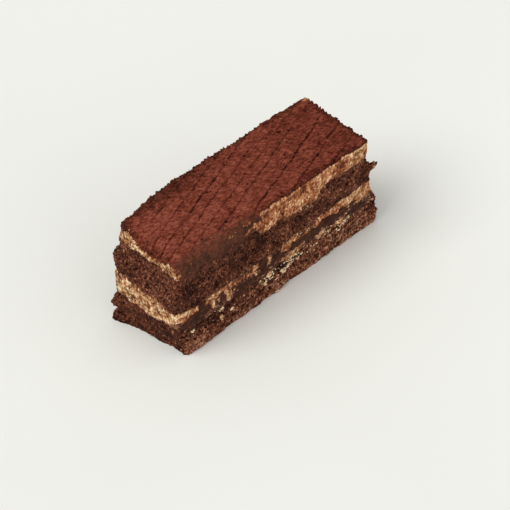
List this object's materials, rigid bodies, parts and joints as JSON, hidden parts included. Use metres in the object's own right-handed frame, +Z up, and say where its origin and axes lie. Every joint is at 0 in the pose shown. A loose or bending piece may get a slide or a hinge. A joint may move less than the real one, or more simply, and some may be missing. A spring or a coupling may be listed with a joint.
{
  "type": "tiramisu cake",
  "caption": "Hand-cut bar of tiramisu cake: dark cocoa sponges with coffee cream between and above, under a crust of cocoa powder scored with slanting lines.",
  "frame": {"origin": "on the surface that the cake stands on, under the middle of its bounding box", "axes": "+X along the bar from its near cut end to its far one, +Y from the front long side to the back, +Z up"},
  "size_m": [0.1238, 0.0416, 0.0563],
  "materials": {
    "sponge": "open, moist crumb",
    "cream": "soft, slightly moist",
    "cocoa": "dry powder"
  },
  "bodies": {
    "root": {"sponge_lower": "sponge", "cream_lower": "cream", "sponge_upper": "sponge", "cream_upper": "cream", "cocoa_top": "cocoa"}
  },
  "joints": []
}
